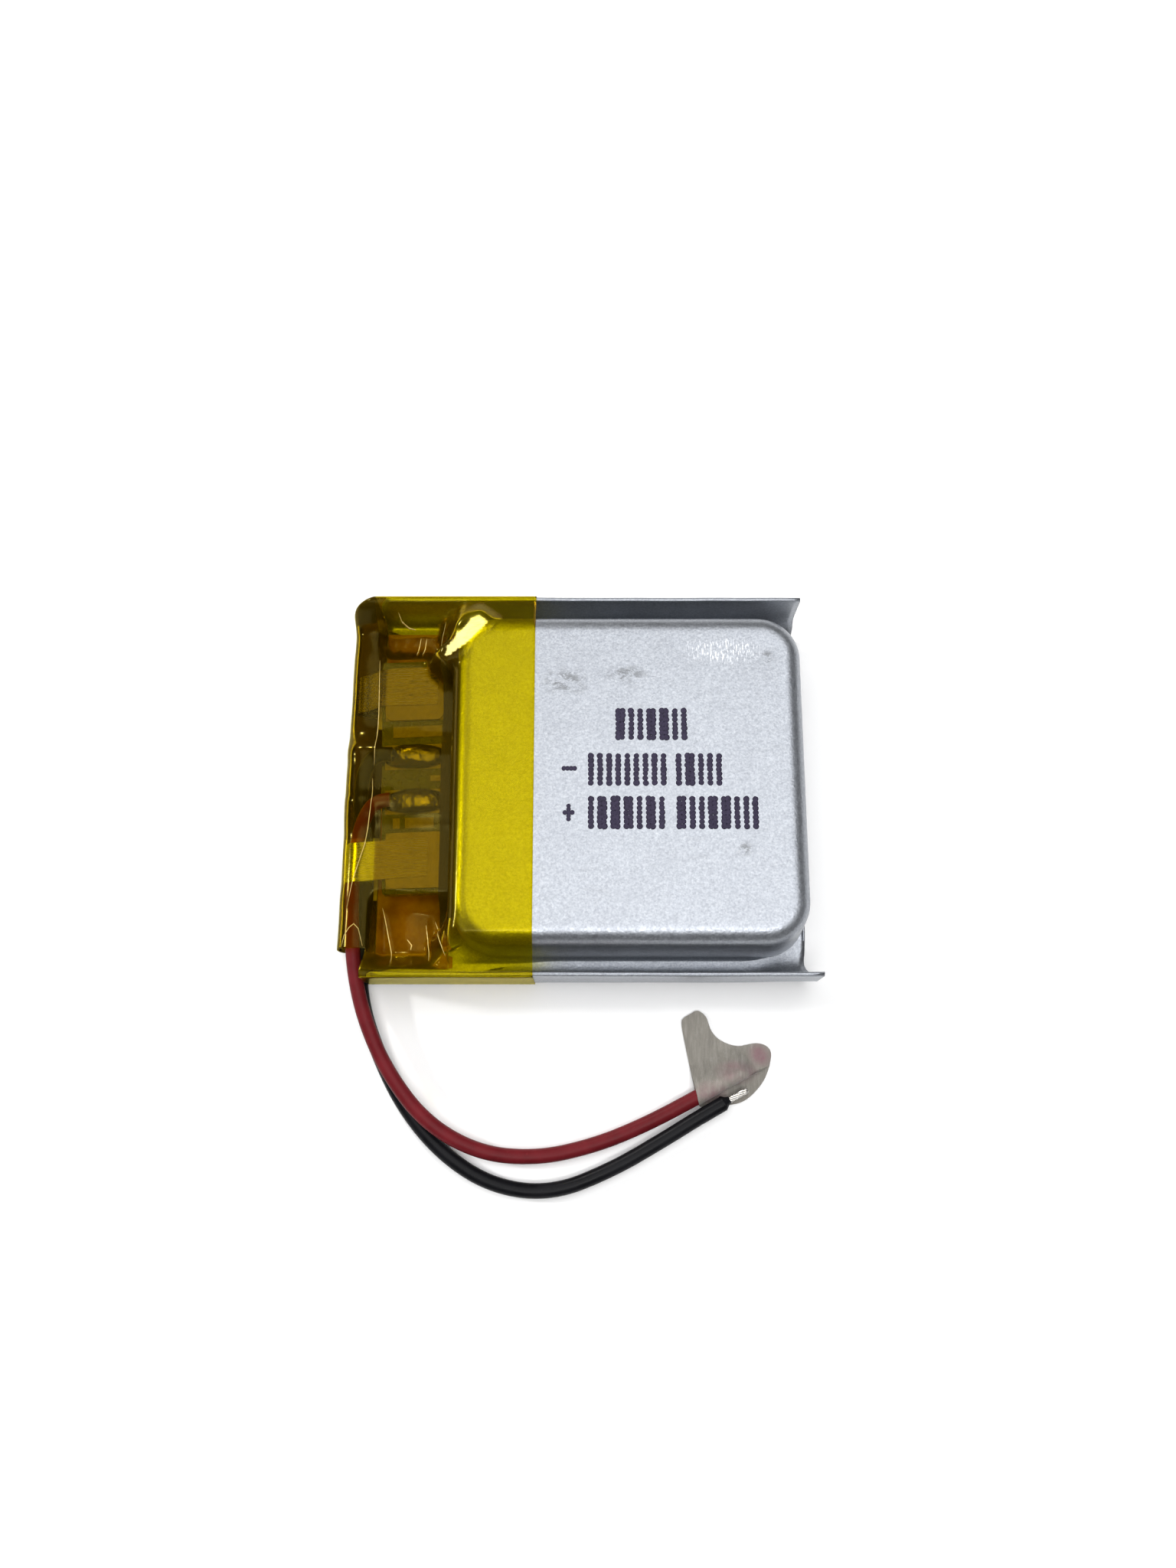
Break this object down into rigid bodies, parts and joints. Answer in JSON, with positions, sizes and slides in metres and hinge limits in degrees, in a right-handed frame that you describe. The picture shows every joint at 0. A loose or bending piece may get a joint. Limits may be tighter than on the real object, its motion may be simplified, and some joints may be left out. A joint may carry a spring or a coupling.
{
  "type": "pouch battery cell",
  "caption": "Flat lithium pouch cell with a deep-drawn laminate cup, folded side seals, a taped protection board and two soldered leads.",
  "frame": {"origin": "under the middle of the taped cell, without its leads, at the height of the surface that the cell lies on", "axes": "+X from the lead end to the folded end of the pouch, +Y across the cell, +Z out of the formed cup"},
  "size_m": [0.0248, 0.031, 0.0051],
  "materials": {
    "pouch_laminate": "matt nylon-faced laminate with a fine mottled grain",
    "polyimide_tape": "glossy translucent amber film, creased",
    "terrace_insulation": "glossy amber film",
    "nickel": "satin nickel strip",
    "tab_sealant": "milky heat-seal film",
    "aluminium_foil": "bright foil",
    "copper_foil": "bright foil",
    "cathode_coating": "matt powder coating",
    "anode_coating": "matt graphite coating",
    "separator_film": "matt white film",
    "stack_binding": "glossy film",
    "circuit_board": "glossy dark green solder mask",
    "board_copper": "tinned and bare copper",
    "chip_package": "matt moulded package",
    "ceramic_component": "fired ceramic with plated ends",
    "solder": "bright reflowed solder",
    "red_insulation": "satin soft plastic",
    "black_insulation": "satin soft plastic",
    "tinned_copper": "tinned strands",
    "cloth_tape": "fibrous adhesive cloth tape, stained",
    "marking_ink": "matt ink-jet dots printed on the cup's face"
  },
  "bodies": {
    "root": {"pouch_cup": "pouch_laminate", "pouch_back": "pouch_laminate", "wrap_tape": "polyimide_tape", "terrace_tape": "terrace_insulation", "negative_tab": "nickel", "negative_weld_pad": "nickel", "positive_weld_pad": "nickel", "positive_tab": "nickel", "positive_tab_sealant": "tab_sealant", "negative_tab_sealant": "tab_sealant", "positive_foil_bundle": "aluminium_foil", "negative_foil_bundle": "copper_foil", "cathode_plate_01": "cathode_coating", "cathode_plate_02": "cathode_coating", "cathode_plate_03": "cathode_coating", "cathode_plate_04": "cathode_coating", "cathode_plate_05": "cathode_coating", "cathode_plate_06": "cathode_coating", "cathode_plate_07": "cathode_coating", "cathode_plate_08": "cathode_coating", "cathode_plate_09": "cathode_coating", "cathode_plate_10": "cathode_coating", "cathode_plate_11": "cathode_coating", "cathode_plate_12": "cathode_coating", "cathode_plate_13": "cathode_coating", "anode_plate_01": "anode_coating", "anode_plate_02": "anode_coating", "anode_plate_03": "anode_coating", "anode_plate_04": "anode_coating", "anode_plate_05": "anode_coating", "anode_plate_06": "anode_coating", "anode_plate_07": "anode_coating", "anode_plate_08": "anode_coating", "anode_plate_09": "anode_coating", "anode_plate_10": "anode_coating", "anode_plate_11": "anode_coating", "anode_plate_12": "anode_coating", "anode_plate_13": "anode_coating", "anode_plate_14": "anode_coating", "separator": "separator_film", "stack_tape": "stack_binding", "pcm_board": "circuit_board", "board_copper": "board_copper", "protection_ic": "chip_package", "dual_mosfet": "chip_package", "supply_resistor": "ceramic_component", "sense_resistor": "ceramic_component", "filter_capacitor": "ceramic_component", "red_solder_joint": "solder", "black_solder_joint": "solder", "red_lead_insulation": "red_insulation", "black_lead_insulation": "black_insulation", "red_lead_conductor": "tinned_copper", "black_lead_conductor": "tinned_copper", "lead_tip_tape": "cloth_tape"}
  },
  "joints": []
}
